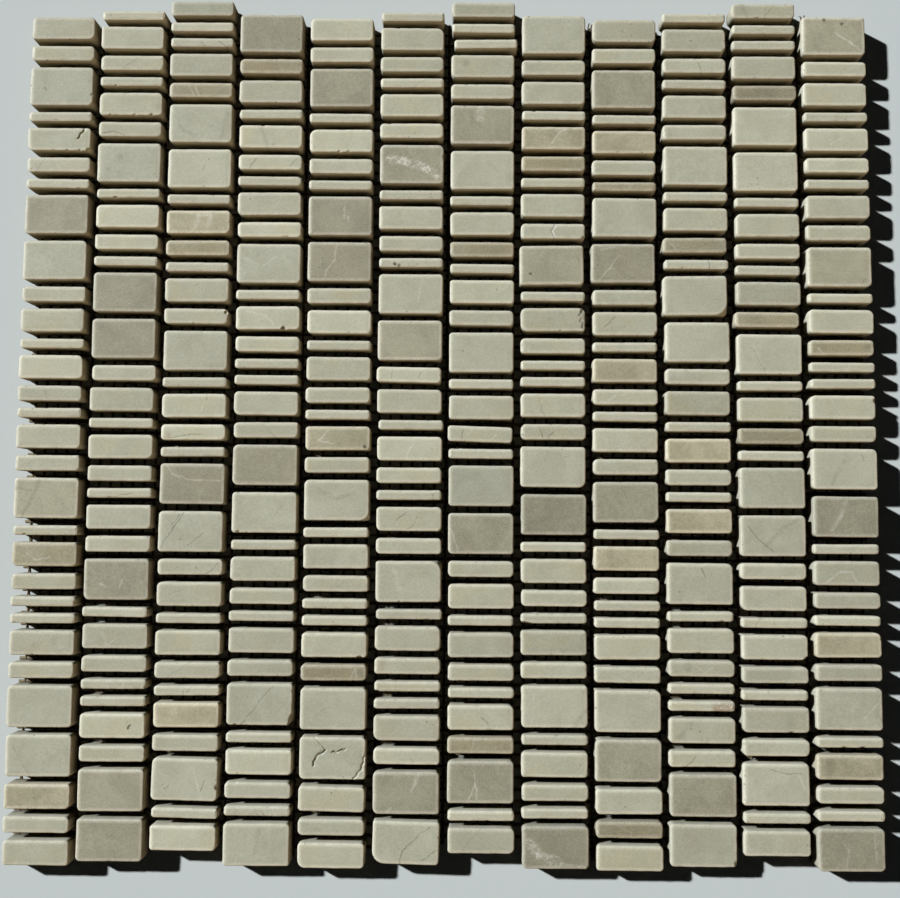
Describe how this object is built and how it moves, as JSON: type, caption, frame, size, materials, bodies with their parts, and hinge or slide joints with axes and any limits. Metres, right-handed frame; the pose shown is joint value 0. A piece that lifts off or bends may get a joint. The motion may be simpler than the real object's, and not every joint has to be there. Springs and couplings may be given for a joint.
{
  "type": "mosaic tile sheet",
  "caption": "Square sheet of oblong honed marble tiles in staggered columns with open joints, bedded on a flat backing net.",
  "frame": {"origin": "middle of the sheet's outline, on the surface that the backing net lies on", "axes": "+X across the columns, to the right in the picture; +Y up the columns, to the top of the picture; +Z out of the tiles' polished faces"},
  "size_m": [0.303, 0.306, 0.0095],
  "materials": {
    "cream_marble": "honed, worn edges",
    "grey_marble": "honed, worn edges, pale veins",
    "tan_marble": "honed, worn edges",
    "net": "glass-fibre strands in a pale size"
  },
  "bodies": {
    "root": {"column_01_cream_tiles": "cream_marble", "column_01_grey_tiles": "grey_marble", "column_01_tan_tiles": "tan_marble", "column_02_cream_tiles": "cream_marble", "column_02_grey_tiles": "grey_marble", "column_03_cream_tiles": "cream_marble", "column_03_grey_tiles": "grey_marble", "column_03_tan_tiles": "tan_marble", "column_04_cream_tiles": "cream_marble", "column_04_grey_tiles": "grey_marble", "column_04_tan_tiles": "tan_marble", "column_05_cream_tiles": "cream_marble", "column_05_grey_tiles": "grey_marble", "column_05_tan_tiles": "tan_marble", "column_06_cream_tiles": "cream_marble", "column_06_grey_tiles": "grey_marble", "column_07_cream_tiles": "cream_marble", "column_07_grey_tiles": "grey_marble", "column_07_tan_tiles": "tan_marble", "column_08_cream_tiles": "cream_marble", "column_08_grey_tiles": "grey_marble", "column_08_tan_tiles": "tan_marble", "column_09_cream_tiles": "cream_marble", "column_09_grey_tiles": "grey_marble", "column_09_tan_tiles": "tan_marble", "column_10_cream_tiles": "cream_marble", "column_10_grey_tiles": "grey_marble", "column_10_tan_tiles": "tan_marble", "column_11_cream_tiles": "cream_marble", "column_11_tan_tiles": "tan_marble", "column_12_cream_tiles": "cream_marble", "column_12_grey_tiles": "grey_marble", "column_12_tan_tiles": "tan_marble", "net_crosswise_strands": "net", "net_lengthwise_strands": "net"}
  },
  "joints": []
}
